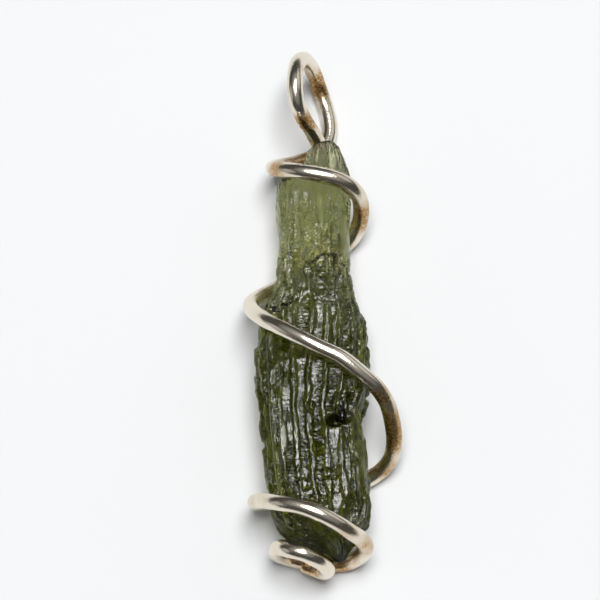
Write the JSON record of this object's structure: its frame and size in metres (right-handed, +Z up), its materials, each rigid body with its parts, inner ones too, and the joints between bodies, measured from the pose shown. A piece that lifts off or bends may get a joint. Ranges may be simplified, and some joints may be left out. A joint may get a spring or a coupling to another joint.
{
  "type": "wire-wrapped moldavite pendant",
  "caption": "Slender etched splinter of green natural glass, wrapped in open turns of round silver wire that ends in a bail loop at its tip and a small coil at its foot.",
  "frame": {"origin": "bottom centre of the box round the whole pendant, on the surface that it lies on", "axes": "+Z up out of the surface that it lies on, +Y along the stone from its foot to the bail, +X to the right seen from above with the bail at the top"},
  "size_m": [0.0099, 0.0341, 0.0073],
  "materials": {
    "moldavite": "natural glass, etched into furrows and fine ribs, with a vitreous lustre",
    "silver": "round drawn silver wire, polished, with a light warm tarnish and fine scratches"
  },
  "bodies": {
    "root": {"moldavite_stone": "moldavite", "silver_wire_wrap": "silver"}
  },
  "joints": []
}
